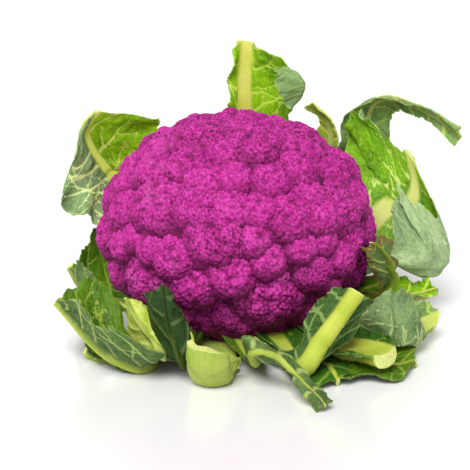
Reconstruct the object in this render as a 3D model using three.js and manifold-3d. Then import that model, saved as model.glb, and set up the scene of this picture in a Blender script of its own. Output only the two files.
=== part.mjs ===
// A purple cauliflower as cut and trimmed for sale: one dome of curd on a short stalk, in a loose ring of
// leaves whose blades were cropped, so that each ends in a cut rib or in a torn, curled edge.
// Millimetres, +Z up. The origin is the centre of the stalk's flat cut face, which stands on z = 0;
// -Y is the front, the side that the curd leans towards.
import * as THREE from 'three';
import Module from 'manifold-3d';
import { mergeVertices } from 'three/addons/utils/BufferGeometryUtils.js';

const wasm = await Module();
wasm.setup();

// ---- Driving dimensions -------------------------------------------------------------------------------

const STALK_FOOT_RADIUS = 23;
const STALK_TOP_RADIUS = 25;
const STALK_HEIGHT = 44;

const CURD_CENTRE = new THREE.Vector3(1, 0, 60);
const CURD_HALF_WIDTH = 80;
const CURD_HALF_DEPTH = 76;
const CURD_RISE = 65;
const CURD_DROP = 64;
const CURD_UNDERSIDE = 30;
const CORE_INSET = 11;
const FLORET_FULLNESS = 1.2;

const BLADE_THICKNESS = 1.4;
const RIB_DEPTH_AT_STALK = 6;
const RIB_DEPTH_AT_CUT = 3;
const RIB_SHARE = 0.34;
const PETIOLE_START_RADIUS = 26;
const PETIOLE_BEND_RADIUS = 48;
const PETIOLE_HALF_WIDTH = 8;
const LEAF_COLUMNS = 8;
const LEAF_STEPS_PER_ROW = 2;
const LOWEST_BLADE = 2.4;
const FLOOR_CLEARANCE = 0.2;
const GAP = 0.3;

// ---- Solids: joining and cutting ----------------------------------------------------------------------

function toSolid(geometry) {
  const bare = geometry.clone();
  bare.deleteAttribute('normal');
  bare.deleteAttribute('uv');
  const shell = mergeVertices(bare, 1e-4);
  const vertProperties = new Float32Array(shell.attributes.position.array);
  const triVerts = new Uint32Array(shell.index.array);
  return new wasm.Manifold(new wasm.Mesh({ numProp: 3, vertProperties, triVerts }));
}

function toGeometry(solid) {
  const { vertProperties, triVerts } = solid.getMesh();
  const geometry = new THREE.BufferGeometry();
  geometry.setAttribute('position', new THREE.BufferAttribute(vertProperties, 3));
  geometry.setIndex(new THREE.BufferAttribute(triVerts, 1));
  geometry.computeVertexNormals();
  return geometry;
}

function largestBody(solid) {
  const bodies = solid.decompose();
  return bodies.reduce((best, body) => (body.volume() > best.volume() ? body : best));
}

function piece(name, solid, color, roughness) {
  const material = new THREE.MeshStandardMaterial({ color, roughness, metalness: 0 });
  const mesh = new THREE.Mesh(toGeometry(solid), material);
  mesh.name = name;
  return mesh;
}

// ---- Stalk: a short stump with the ring scars of leaves already stripped -------------------------------

function stalkSolid(extra) {
  const profile = [
    new THREE.Vector2(0, 0),
    new THREE.Vector2(STALK_FOOT_RADIUS + extra, 0),
    new THREE.Vector2(STALK_FOOT_RADIUS + 1.2 + extra, 1.5),
    new THREE.Vector2(STALK_FOOT_RADIUS + 0.6 + extra, 10),
    new THREE.Vector2(STALK_TOP_RADIUS + extra, 13),
    new THREE.Vector2(STALK_TOP_RADIUS + extra, STALK_HEIGHT - 6),
    new THREE.Vector2(STALK_TOP_RADIUS - 6 + extra, STALK_HEIGHT + extra),
    new THREE.Vector2(0, STALK_HEIGHT + extra),
  ];
  const stalk = new THREE.LatheGeometry(profile, 28);
  stalk.rotateX(Math.PI / 2);
  return toSolid(stalk);
}

// ---- Curd: a rounded core under a crowd of florets ----------------------------------------------------

// Each floret is given by where it stands on the dome, as a turn about Z and a rise above the dome's
// centre in degrees, and by its radius.
const FRONT_FLORETS = [
  [-64, 16, 14], [-32, 14, 14], [-2, 2, 12], [-72, -26, 22], [-100, 8, 17], [-134, 18, 16],
  [176, 12, 14], [-172, -4, 13], [-140, -20, 18], [-124, -36, 13], [-166, -20, 12], [-12, -18, 17],
  [-32, -34, 15], [-90, -38, 14], [-60, 3, 8], [-110, 34, 11], [-92, 37, 9], [-70, 34, 10],
  [-48, 38, 10], [-132, 0, 9], [-98, 22, 9], [-128, 42, 10], [-8, -4, 14], [-112, -16, 13],
  [-146, 62, 16], [-70, 60, 15], [94, 74, 15], [166, 42, 14], [16, 50, 17], [6, 26, 13], [162, 26, 11],
  [-52, -50, 15], [-90, -54, 15], [-128, -50, 15],
];
const BACK_FLORETS = [
  [30, 14, 18], [58, 34, 18], [64, 2, 20], [96, 18, 19], [104, 46, 17], [132, 28, 18], [128, -4, 20],
  [156, 4, 15], [34, -20, 17], [96, -22, 18], [156, -22, 16], [50, 60, 14], [138, 56, 15],
];

function domePoint(turn, rise, depth) {
  const around = THREE.MathUtils.degToRad(turn);
  const above = THREE.MathUtils.degToRad(rise);
  const direction = new THREE.Vector3(
    Math.cos(around) * Math.cos(above),
    Math.sin(around) * Math.cos(above),
    Math.sin(above),
  );
  const height = rise > 0 ? CURD_RISE : CURD_DROP;
  const squeezed = direction.clone().divide(new THREE.Vector3(CURD_HALF_WIDTH, CURD_HALF_DEPTH, height));
  const reach = 1 / squeezed.length() - depth;
  return direction.multiplyScalar(reach).add(CURD_CENTRE);
}

// grow swells the core and every floret alike, to leave room for a gap.
function curdSolid(grow) {
  const core = new THREE.SphereGeometry(1, 16, 10);
  const inset = CORE_INSET - grow;
  core.rotateX(Math.PI / 2);
  core.scale(CURD_HALF_WIDTH - inset, CURD_HALF_DEPTH - inset, CURD_RISE - inset);
  const points = core.attributes.position;
  for (let i = 0; i < points.count; i += 1) {
    points.setZ(i, Math.max(points.getZ(i), CURD_UNDERSIDE - CURD_CENTRE.z - grow));
  }
  core.translate(CURD_CENTRE.x, CURD_CENTRE.y, CURD_CENTRE.z);
  let curd = toSolid(core);
  for (const [turn, rise, listedRadius] of [...FRONT_FLORETS, ...BACK_FLORETS]) {
    const radius = listedRadius * FLORET_FULLNESS;
    const floret = new THREE.IcosahedronGeometry(radius + grow, 1);
    const place = domePoint(turn, rise, radius);
    floret.translate(place.x, place.y, place.z);
    curd = curd.add(toSolid(floret));
  }
  return curd;
}

// ---- Leaves -------------------------------------------------------------------------------------------

// A leaf is a surface through a few rows of points, from the stalk to its cut or torn end. A row runs
// across the leaf, from its clockwise edge, seen from above, over the rib in the middle, to the other edge.
// Only the rows beyond the curd's rim are listed: the first two, under the curd, follow from the turn about
// the stalk and the height on it that the petiole grows from.
const BRIGHT = 0x80a614;
const DARK = 0x314c1f;
const GREY_GREEN = 0x9ec278;
const PALE = 0xc8d07a;

const LEAVES = [
  // Lowest at the left: dark, pressed flat on the table.
  { name: 'leaf_left_low', turn: -176, height: 5, color: DARK, rows: [
    [[-61, -40, 4], [-58, -50, 3], [-56, -60, 3], [-55, -66, 3], [-55, -72, 3]],
    [[-72, -40, 6], [-70, -50, 4], [-67, -62, 3], [-65, -68, 3], [-64, -74, 3]],
    [[-79, -42, 10], [-79, -48, 7], [-76, -58, 5], [-74, -64, 4], [-72, -70, 4]],
    [[-82, -47, 10], [-82, -51, 8], [-80, -56, 7], [-79, -60, 6], [-77, -64, 6]],
  ] },
  // Left: a spoon of a leaf, its pale rib underneath and its inner face turned up to the light.
  { name: 'leaf_left_spoon', turn: -146, height: 9, color: BRIGHT, rows: [
    [[-57, -52, 15], [-53, -60, 8], [-45, -72, 6], [-39, -86, 12], [-37, -90, 18]],
    [[-63, -44, 30], [-66, -58, 15], [-60, -76, 10], [-58, -88, 18], [-62, -92, 29]],
    [[-74, -32, 37], [-77, -52, 24], [-73, -70, 17], [-70, -80, 25], [-72, -83, 33]],
    [[-84, -30, 37], [-87, -46, 31], [-84, -60, 25], [-81, -68, 32], [-81, -70, 37]],
    [[-92, -36, 35], [-94, -44, 34], [-95, -50, 33], [-93, -54, 35], [-91, -57, 37]],
  ] },
  // Left, against the curd: a young leaf rolled lengthways.
  { name: 'leaf_left_rolled', turn: -140, height: 22, color: PALE, rows: [
    [[-47, -66, 8], [-44, -76, 12], [-38, -80, 15], [-35, -76, 16], [-34, -70, 18]],
    [[-56, -60, 16], [-51, -74, 18], [-44, -78, 21], [-40, -74, 24], [-40, -66, 25]],
    [[-59, -56, 26], [-55, -70, 28], [-51, -74, 31], [-47, -72, 33], [-46, -64, 32]],
    [[-61, -50, 32], [-59, -60, 34], [-56, -64, 36], [-53, -62, 37], [-52, -56, 36]],
  ] },
  // Front left: a small dark leaf standing upright like a cup.
  { name: 'leaf_front_left_cup', turn: -122, height: 16, color: DARK, rows: [
    [[-39, -78, 9], [-34, -82, 11], [-27, -84, 12], [-23, -84, 14], [-20, -80, 16]],
    [[-43, -74, 24], [-38, -82, 22], [-31, -86, 23], [-26, -86, 24], [-23, -80, 26]],
    [[-46, -70, 35], [-41, -80, 36], [-35, -83, 35], [-30, -82, 35], [-27, -74, 30]],
    [[-45, -66, 43], [-41, -72, 46], [-37, -74, 48], [-33, -74, 46], [-31, -70, 41]],
  ] },
  // Front: the stub of a thick petiole, cropped short and boat shaped.
  { name: 'leaf_front_boat', turn: -104, height: 6, ribDepth: [6, 5], color: PALE, rows: [
    [[-19, -76, 6], [-15, -76, 4], [-10, -74, 3], [-4, -74, 3], [2, -74, 4]],
    [[-24, -84, 15], [-20, -89, 8], [-12, -90, 5], [-3, -88, 6], [4, -80, 8]],
    [[-24, -85, 22], [-21, -93, 17], [-14, -97, 14], [-5, -95, 12], [4, -84, 10]],
    [[-24, -85, 28], [-20, -93, 23], [-14, -97, 23], [-7, -95, 19], [2, -86, 12]],
  ] },
  // Front: a narrow leaf that arches over the stub and runs out as a strip lying on the table.
  { name: 'leaf_front_strip', turn: -86, height: 14, ribDepth: [4, 0.4], color: GREY_GREEN, rows: [
    [[4, -82, 11], [7, -82, 10], [10, -80, 10], [14, -79, 10], [18, -77, 10]],
    [[2, -88, 24], [5, -92, 24], [10, -95, 20], [15, -95, 15], [19, -92, 12]],
    [[10, -89, 25], [13, -96, 24], [17, -100, 21], [21, -100, 16], [25, -98, 12]],
    [[24, -94, 18], [26, -100, 18], [27, -104, 15], [28, -104, 13], [28, -102, 10]],
    [[38, -107, 10], [36, -110, 10], [34, -112, 9], [32, -113, 8], [30, -113, 7]],
    [[46, -117, 6], [43, -120, 6], [41, -122, 5], [38, -123, 5], [36, -123, 4]],
    [[50, -122, 4], [47, -125, 4], [44, -127, 3], [42, -128, 3], [40, -129, 3]],
  ] },
  // Front right: an upright leaf seen from outside, its pale rib standing out in front.
  { name: 'leaf_front_right_rib', turn: -66, height: 16, ribDepth: [6, 5], color: PALE, rows: [
    [[24, -79, 15], [28, -84, 13], [34, -87, 10], [42, -82, 9], [50, -72, 12]],
    [[33, -75, 22], [38, -82, 24], [44, -86, 22], [52, -80, 18], [59, -74, 19]],
    [[43, -70, 36], [48, -77, 37], [53, -80, 33], [61, -73, 29], [68, -66, 29]],
    [[54, -65, 47], [57, -71, 47], [62, -73, 44], [69, -66, 41], [76, -58, 36]],
  ] },
  // Front right: a broad blade lying flat on the table, its grey underside showing.
  { name: 'leaf_front_right_flat', turn: -64, height: 5, color: GREY_GREEN, rows: [
    [[26, -84, 6], [37, -82, 6], [47, -76, 6], [58, -68, 6], [68, -62, 5]],
    [[31, -94, 5], [42, -91, 5], [50, -84, 6], [59, -76, 5], [68, -70, 4]],
    [[36, -102, 4], [45, -100, 3], [53, -94, 4], [59, -88, 4], [65, -82, 3]],
  ] },
  // Right front: a petiole cut straight across, its pale end facing outwards.
  { name: 'leaf_right_cut_rib', turn: -38, height: 18, ribDepth: [6, 6], color: PALE, rows: [
    [[47, -75, 14], [51, -70, 12], [56, -62, 12], [59, -54, 14], [61, -48, 18]],
    [[57, -84, 16], [62, -80, 14], [67, -72, 13], [71, -65, 15], [73, -58, 19]],
    [[66, -93, 18], [71, -91, 16], [78, -86, 15], [84, -79, 17], [87, -72, 22]],
  ] },
  // Right front: a wide leaf on the table with a bright wavy corner.
  { name: 'leaf_right_flat', turn: -30, height: 5, color: BRIGHT, rows: [
    [[52, -90, 4], [56, -82, 4], [61, -68, 5], [66, -54, 5], [70, -44, 6]],
    [[63, -92, 3], [67, -84, 4], [72, -70, 4], [78, -56, 4], [84, -44, 5]],
    [[77, -92, 3], [82, -84, 3], [86, -70, 3], [90, -57, 4], [95, -44, 5]],
    [[87, -90, 3], [92, -80, 4], [96, -68, 5], [98, -58, 5], [100, -48, 4]],
  ] },
  // Right: a short leaf folded like a gutter round its thick rib, which was cut off beyond the blade.
  { name: 'leaf_right_gutter', turn: -12, height: 8, ribDepth: [6, 6], color: GREY_GREEN, rows: [
    [[77, -50, 35], [78, -56, 22], [79, -56, 11], [80, -43, 9], [81, -33, 12],
      [82, -27, 15], [83, -22, 18]],
    [[85, -46, 39], [86, -55, 24], [87, -57, 9], [88, -42, 10], [89, -29, 13],
      [90, -22, 16], [90, -16, 20]],
    [[94, -43, 34], [95, -52, 20], [95, -54, 8], [97, -39, 11], [98, -28, 14],
      [99, -21, 17], [99, -14, 21]],
    [[99, -40, 28], [100, -47, 17], [101, -48, 8], [105, -34, 12], [106, -26, 14],
      [107, -20, 17], [107, -15, 20]],
    [[103, -35, 22], [105, -40, 14], [107, -40, 10], [114, -27, 13], [115, -23, 15], [115, -18, 17],
      [114, -14, 19]],
  ] },
  // Right, against the curd: a torn inner leaf with a brown curled edge.
  { name: 'leaf_right_torn', turn: -6, height: 24, color: BRIGHT, rows: [
    [[78, -26, 29], [81, -20, 29], [84, -14, 30], [87, -8, 32], [90, -3, 36]],
    [[75, -35, 42], [80, -30, 41], [84, -23, 41], [87, -16, 43], [88, -10, 47]],
    [[70, -42, 53], [75, -38, 52], [80, -32, 52], [84, -26, 54], [85, -20, 58]],
    [[65, -44, 61], [69, -42, 61], [73, -38, 61], [77, -34, 62], [79, -29, 64]],
  ] },
  // Right: a leaf spread outwards over the gutter leaf.
  { name: 'leaf_right_spread', turn: 10, height: 16, color: BRIGHT, rows: [
    [[80, -18, 18], [81, -12, 18], [82, -3, 18], [84, 6, 20], [86, 12, 24]],
    [[88, -18, 20], [90, -12, 19], [91, -3, 18], [93, 6, 20], [93, 13, 25]],
    [[99, -14, 21], [101, -9, 20], [102, 0, 19], [102, 8, 20], [101, 15, 24]],
    [[108, -8, 21], [110, -3, 20], [111, 4, 19], [110, 10, 20], [108, 16, 23]],
    [[116, -2, 22], [118, 3, 21], [118, 8, 20], [116, 13, 20], [114, 17, 22]],
  ] },
  // Right: a large leaf whose lower half folds outwards and down, showing its veined underside.
  { name: 'leaf_right_folded', turn: 28, height: 8, color: GREY_GREEN, rows: [
    [[78, 8, 34], [88, 15, 32], [96, 25, 37], [92, 35, 50], [83, 43, 64], [75, 50, 75], [70, 54, 82],
      [66, 56, 90]],
    [[87, 4, 42], [102, 8, 29], [115, 22, 24], [110, 36, 43], [92, 46, 71], [81, 51, 85], [73, 54, 98],
      [68, 54, 112]],
    [[90, 12, 62], [110, 11, 45], [127, 25, 33], [118, 40, 55], [98, 48, 83], [87, 52, 96], [79, 54, 107],
      [71, 52, 117]],
    [[94, 22, 84], [106, 25, 74], [117, 34, 66], [109, 43, 83], [99, 48, 96], [92, 51, 101], [86, 52, 105],
      [81, 51, 109]],
  ] },
  // Back right: a leaf that rises behind the last one and blows out to the side in a long ribbon.
  { name: 'leaf_back_ribbon', turn: 44, height: 15, ribDepth: [6, 0.4], color: GREY_GREEN, rows: [
    [[99, 70, 58], [91, 74, 60], [81, 77, 62], [70, 78, 65], [62, 77, 67]],
    [[97, 66, 86], [89, 69, 88], [80, 71, 90], [71, 70, 91], [63, 68, 92]],
    [[95, 63, 103], [90, 66, 108], [82, 68, 112], [74, 67, 114], [67, 64, 113]],
    [[97, 61, 113], [93, 63, 117], [88, 63, 120], [83, 61, 122], [78, 57, 123]],
    [[104, 56, 114], [102, 56, 117], [100, 55, 120], [97, 53, 122], [93, 50, 124]],
    [[117, 49, 108], [118, 48, 111], [118, 46, 113], [117, 44, 116], [115, 42, 118]],
    [[133, 42, 98], [133, 41, 100], [133, 40, 102], [132, 38, 104], [131, 36, 106]],
  ] },
  // Back right: a narrow sliver with a pale hooked tip.
  { name: 'leaf_back_sliver', turn: 62, height: 22, ribDepth: [5, 0.4], color: PALE, rows: [
    [[62, 66, 67], [59, 68, 68], [57, 70, 69], [54, 72, 69], [49, 74, 68]],
    [[62, 63, 93], [60, 66, 93], [59, 68, 92], [55, 71, 93], [49, 74, 94]],
    [[61, 63, 104], [60, 66, 103], [58, 68, 103], [55, 70, 104], [51, 73, 106]],
    [[56, 65, 112], [55, 67, 111], [53, 69, 110], [51, 71, 110], [49, 73, 110]],
    [[48, 67, 119], [47, 69, 118], [45, 71, 116], [43, 73, 115], [42, 75, 114]],
  ] },
  // Back: the tallest leaf, its thick rib cut square at the top and its far half folded forwards.
  { name: 'leaf_back_tall', turn: 86, height: 14, ribDepth: [6, 6], color: BRIGHT, rows: [
    [[36, 84, 59], [25, 90, 61], [16, 92, 63], [7, 92, 64], [1, 90, 65], [-4, 88, 65], [-8, 84, 65]],
    [[34, 76, 103], [29, 83, 104], [17, 88, 105], [6, 90, 108], [1, 89, 109], [-2, 87, 111], [-4, 84, 113]],
    [[27, 64, 122], [42, 74, 126], [26, 86, 126], [6, 91, 130], [1, 90, 130], [-1, 89, 131], [-3, 87, 131]],
    [[21, 66, 139], [31, 76, 143], [17, 88, 149], [7, 93, 152], [3, 92, 152], [1, 91, 151], [-1, 89, 150]],
  ] },
  // Back left: a leaf bent over at its rib, the inner face above and the underside hanging below.
  { name: 'leaf_back_left_bent', turn: 152, height: 10, color: BRIGHT, rows: [
    [[-47, 62, 73], [-55, 58, 73], [-63, 53, 72], [-70, 46, 71], [-75, 36, 65],
      [-79, 26, 60], [-80, 18, 54]],
    [[-51, 64, 85], [-61, 59, 82], [-70, 52, 81], [-77, 45, 83], [-82, 36, 75],
      [-86, 26, 67], [-89, 17, 59]],
    [[-49, 65, 96], [-63, 59, 95], [-76, 50, 93], [-84, 41, 95], [-87, 34, 86],
      [-94, 26, 75], [-102, 19, 66]],
    [[-46, 65, 104], [-62, 59, 105], [-77, 48, 107], [-87, 39, 107], [-90, 34, 99],
      [-93, 29, 91], [-99, 24, 79]],
    [[-44, 63, 109], [-58, 58, 113], [-71, 50, 116], [-80, 43, 117], [-85, 39, 116], [-87, 36, 113],
      [-89, 33, 109]],
  ] },
  // Behind the curd: three low leaves that close the ring.
  { name: 'leaf_back_broad', turn: 116, height: 6, color: GREY_GREEN, rows: [
    [[-8, 84, 22], [-18, 86, 17], [-30, 82, 15], [-42, 76, 17], [-50, 68, 22]],
    [[-6, 94, 50], [-20, 98, 45], [-34, 94, 42], [-50, 86, 44], [-60, 74, 50]],
    [[-10, 90, 72], [-22, 100, 74], [-36, 100, 72], [-52, 90, 72], [-64, 74, 70]],
    [[-14, 96, 84], [-24, 108, 86], [-38, 110, 84], [-54, 98, 84], [-64, 82, 80]],
  ] },
  { name: 'leaf_back_right_low', turn: 64, height: 5, color: BRIGHT, rows: [
    [[66, 54, 18], [56, 66, 12], [42, 76, 9], [28, 84, 11], [16, 88, 16]],
    [[84, 62, 34], [72, 76, 24], [54, 88, 18], [36, 96, 21], [20, 98, 30]],
    [[92, 66, 44], [80, 82, 36], [62, 97, 29], [42, 104, 31], [26, 104, 40]],
  ] },
  { name: 'leaf_left_hidden', turn: 176, height: 14, color: BRIGHT, rows: [
    [[-66, 38, 20], [-72, 26, 14], [-76, 12, 12], [-75, -4, 13], [-70, -18, 18]],
    [[-76, 42, 38], [-84, 30, 26], [-88, 14, 20], [-87, -4, 24], [-80, -20, 34]],
    [[-84, 42, 50], [-92, 28, 40], [-95, 14, 32], [-93, 0, 37], [-88, -12, 46]],
  ] },
];

// The two rows under the curd: a flat grooved petiole that leaves the stalk and dips towards the table.
function petioleRows(turn, height, columns) {
  const outward = new THREE.Vector3(Math.cos(turn), Math.sin(turn), 0);
  const sideways = new THREE.Vector3(-outward.y, outward.x, 0);
  const stations = [
    { radius: PETIOLE_START_RADIUS, halfWidth: PETIOLE_HALF_WIDTH, z: height },
    { radius: PETIOLE_BEND_RADIUS, halfWidth: PETIOLE_HALF_WIDTH * 1.4, z: 1 + height * 0.75 },
  ];
  return stations.map(({ radius, halfWidth, z }) => {
    const row = [];
    for (let i = 0; i < columns; i += 1) {
      const across = (2 * i) / (columns - 1) - 1;
      const point = new THREE.Vector3(0, 0, z + 2 * across * across);
      point.addScaledVector(outward, radius);
      point.addScaledVector(sideways, across * halfWidth);
      row.push(point);
    }
    return row;
  });
}

function smoothLine(points) {
  return new THREE.CatmullRomCurve3(points, false, 'catmullrom');
}

function leafSurface({ turn, height, rows }) {
  const listed = rows.map((row) => row.map(([x, y, z]) => new THREE.Vector3(x, y, z)));
  const hidden = petioleRows(THREE.MathUtils.degToRad(turn), height, rows[0].length);
  const lines = [...hidden, ...listed].map(smoothLine);
  return (across, along) => {
    const point = smoothLine(lines.map((line) => line.getPoint(across))).getPoint(along);
    point.z = Math.max(point.z, LOWEST_BLADE);
    return point;
  };
}

// The directions across, along and out of the surface, from short steps on it.
function surfaceFrame(surface, across, along) {
  const step = 0.01;
  const clamp = (value) => THREE.MathUtils.clamp(value, 0, 1);
  const sideways = surface(clamp(across + step), along).sub(surface(clamp(across - step), along));
  const forwards = surface(across, clamp(along + step)).sub(surface(across, clamp(along - step)));
  sideways.normalize();
  forwards.normalize();
  return { sideways, forwards, outwards: sideways.clone().cross(forwards).normalize() };
}

// -1 or 1 at the two edges of the slab, and 0 between them.
function atEdge(value) {
  return Math.abs(value) > 0.999 ? Math.sign(value) : 0;
}

// A flat slab bent onto the leaf's surface: its lower side is the inner face of the blade, and its upper
// side is the outer face, which swells over the rib. grow swells it all round to leave room for a gap.
function leafSolid(leaf, grow) {
  const surface = leafSurface(leaf);
  const [depthAtStalk, depthAtCut] = leaf.ribDepth ?? [RIB_DEPTH_AT_STALK, RIB_DEPTH_AT_CUT];
  const steps = LEAF_STEPS_PER_ROW * (leaf.rows.length + 1);
  const slab = new THREE.BoxGeometry(2, 1, 2, LEAF_COLUMNS, 1, steps);
  const points = slab.attributes.position;
  for (let i = 0; i < points.count; i += 1) {
    const fromRib = points.getX(i) * Math.abs(points.getX(i)) ** 0.25;
    const across = (1 + fromRib) / 2;
    const along = (1 - points.getZ(i)) / 2;
    const onOuterFace = points.getY(i) > 0;
    const swell = Math.max(0, 1 - (fromRib / RIB_SHARE) ** 2);
    const rib = THREE.MathUtils.lerp(depthAtStalk, depthAtCut, along) * swell;
    const { sideways, forwards, outwards } = surfaceFrame(surface, across, along);
    const place = surface(across, along);
    place.addScaledVector(outwards, onOuterFace ? BLADE_THICKNESS + rib + grow : -grow);
    place.addScaledVector(sideways, atEdge(points.getX(i)) * grow);
    place.addScaledVector(forwards, -atEdge(points.getZ(i)) * grow);
    const lowest = onOuterFace ? FLOOR_CLEARANCE - grow : FLOOR_CLEARANCE + BLADE_THICKNESS / 2;
    points.setXYZ(i, place.x, place.y, Math.max(place.z, lowest));
  }
  return toSolid(slab);
}

// ---- Assembly: each leaf makes room for the curd, the stalk and the leaves before it -------------------

const cauliflower = new THREE.Group();
const stalk = stalkSolid(0);
const curd = curdSolid(0).subtract(stalkSolid(GAP));
cauliflower.add(piece('stalk', stalk, 0xc7ca65, 0.6));
cauliflower.add(piece('curd', curd, 0xb0298a, 0.7));

let taken = stalkSolid(GAP).add(curdSolid(GAP * 1.5));
for (const leaf of LEAVES) {
  const solid = largestBody(leafSolid(leaf, 0).subtract(taken));
  cauliflower.add(piece(leaf.name, solid, leaf.color, 0.5));
  taken = taken.add(leafSolid(leaf, GAP * 2));
}

export default cauliflower;
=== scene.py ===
import math

import bpy
import numpy as np
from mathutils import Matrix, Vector, kdtree


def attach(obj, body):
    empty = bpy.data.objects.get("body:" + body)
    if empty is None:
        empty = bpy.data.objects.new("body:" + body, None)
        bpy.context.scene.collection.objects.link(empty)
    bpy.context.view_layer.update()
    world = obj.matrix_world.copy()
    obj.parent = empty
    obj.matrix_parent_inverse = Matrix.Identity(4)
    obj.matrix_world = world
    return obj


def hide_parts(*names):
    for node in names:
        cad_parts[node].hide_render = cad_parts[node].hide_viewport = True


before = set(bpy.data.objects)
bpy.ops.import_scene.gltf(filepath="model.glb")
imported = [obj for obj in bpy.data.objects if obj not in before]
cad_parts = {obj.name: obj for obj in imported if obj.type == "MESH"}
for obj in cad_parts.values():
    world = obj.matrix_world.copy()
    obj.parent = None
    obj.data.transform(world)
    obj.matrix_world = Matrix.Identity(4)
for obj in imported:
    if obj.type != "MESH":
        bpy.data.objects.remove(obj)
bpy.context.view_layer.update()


# ---- Studio ------------------------------------------------------------------------------------------
# The head stands on a satin white tabletop in a white room that is bright round the walls and dimmer
# overhead. A broad soft light from high in front, a little to the left, gives it its shape.

LOOK_AT = Vector((0, 0, 0.054))
CAMERA_DISTANCE = 0.745
CAMERA_HEIGHT_ANGLE = math.radians(16)
WALL_BRIGHTNESS = 1.0
CEILING_BRIGHTNESS = 0.22
WALL_TOP = 0.45
CEILING_START = 0.75
DIFFUSER_STRENGTH = 4.4
DIFFUSER_WIDTH = math.radians(38)
TOWARDS_DIFFUSER = Vector((-0.22, -0.68, 1.0))
TABLETOP_WIDTH = 6

bpy.ops.object.select_all(action="DESELECT")
camera_place = LOOK_AT + CAMERA_DISTANCE * Vector(
    (0, -math.cos(CAMERA_HEIGHT_ANGLE), math.sin(CAMERA_HEIGHT_ANGLE))
)
bpy.ops.object.camera_add(
    location=camera_place, rotation=(math.pi / 2 - CAMERA_HEIGHT_ANGLE, 0, 0)
)
camera = bpy.context.object
camera.data.lens = 100
camera.data.sensor_width = 36
bpy.context.scene.camera = camera

room = bpy.data.worlds.new("white_room")
room.use_nodes = True
background = room.node_tree.nodes["Background"]
background.inputs["Color"].default_value = (1, 1, 1, 1)
direction = room.node_tree.nodes.new("ShaderNodeTexCoord")
split = room.node_tree.nodes.new("ShaderNodeSeparateXYZ")
walls_to_ceiling = room.node_tree.nodes.new("ShaderNodeMapRange")
walls_to_ceiling.inputs["From Min"].default_value = WALL_TOP
walls_to_ceiling.inputs["From Max"].default_value = CEILING_START
walls_to_ceiling.inputs["To Min"].default_value = WALL_BRIGHTNESS
walls_to_ceiling.inputs["To Max"].default_value = CEILING_BRIGHTNESS
room.node_tree.links.new(direction.outputs["Generated"], split.inputs["Vector"])
room.node_tree.links.new(split.outputs["Z"], walls_to_ceiling.inputs["Value"])
room.node_tree.links.new(walls_to_ceiling.outputs["Result"], background.inputs["Strength"])
bpy.context.scene.world = room
bpy.context.scene.view_settings.view_transform = "Standard"

bpy.ops.object.light_add(type="SUN", location=(-0.5, -0.7, 1.2))
diffuser = bpy.context.object
diffuser.name = "diffuser_light"
diffuser.data.angle = DIFFUSER_WIDTH
diffuser.data.energy = DIFFUSER_STRENGTH
diffuser.rotation_euler = TOWARDS_DIFFUSER.to_track_quat("Z", "Y").to_euler()

bpy.ops.mesh.primitive_plane_add(size=TABLETOP_WIDTH)
tabletop = bpy.context.object
tabletop.name = "tabletop"
tabletop.data.materials.append(bpy.data.materials.new("white_satin_table"))
tabletop.data.materials[0].use_nodes = True
table_shader = tabletop.data.materials[0].node_tree.nodes["Principled BSDF"]
table_shader.inputs["Base Color"].default_value = (0.80, 0.805, 0.80, 1)
table_shader.inputs["Metallic"].default_value = 0.2
table_shader.inputs["Roughness"].default_value = 0.22


# ---- Curd --------------------------------------------------------------------------------------------
# The purple head: a crowd of florets that grew as one piece from the branching stalk. Each floret is a
# dome of buds, and each bud a dome of beads, all set in the same golden-angle spiral.

MM = 0.001
GOLDEN_ANGLE = math.pi * (3 - math.sqrt(5))
CURD_CENTRE = np.array((1, 0, 60)) * MM
CURD_HALF_WIDTH = 80 * MM
CURD_HALF_DEPTH = 76 * MM
CURD_RISE = 65 * MM
CURD_DROP = 68 * MM
CURD_ROOT = np.array((0, 0, 20)) * MM
FLORET_REACH = 1.5
FLORET_FULLNESS = 1.22
FLORET_CUTS_PER_MM = 2.4
FLORET_CORE_SHARE = 0.88

# Florets with a radius under FILLER_BELOW millimetres fill the gaps between the others. They sit deeper,
# by FILLER_SINK times the difference.
FILLER_SINK = 0.42
FILLER_BELOW = 16

# A bead's radius in millimetres, the spacing of beads as a multiple of it, the share of it that is sunk
# in the bud, and how far round the bud the beads reach, in radians.
BEAD_RADIUS = (1.2, 1.5)
BEAD_PITCH = 1.65
BEAD_SUNK_SHARE = 0.5
BEAD_REACH = 1.6

# The smallest bud, a bud's radius as a share of its floret's, how closely the buds crowd, and the share
# of a bud's radius that its flesh fills between the beads.
SMALLEST_BUD = 3 * MM
BUD_SHARE = (0.22, 0.28)
BUD_CROWDING = 3.0
BUD_CORE_SHARE = 0.87
UNEVENNESS = 0.05

HEART_DEPTH = 11 * MM
HEART_BUDS = 420
HEART_BUD_RISE = 3 * MM

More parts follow.
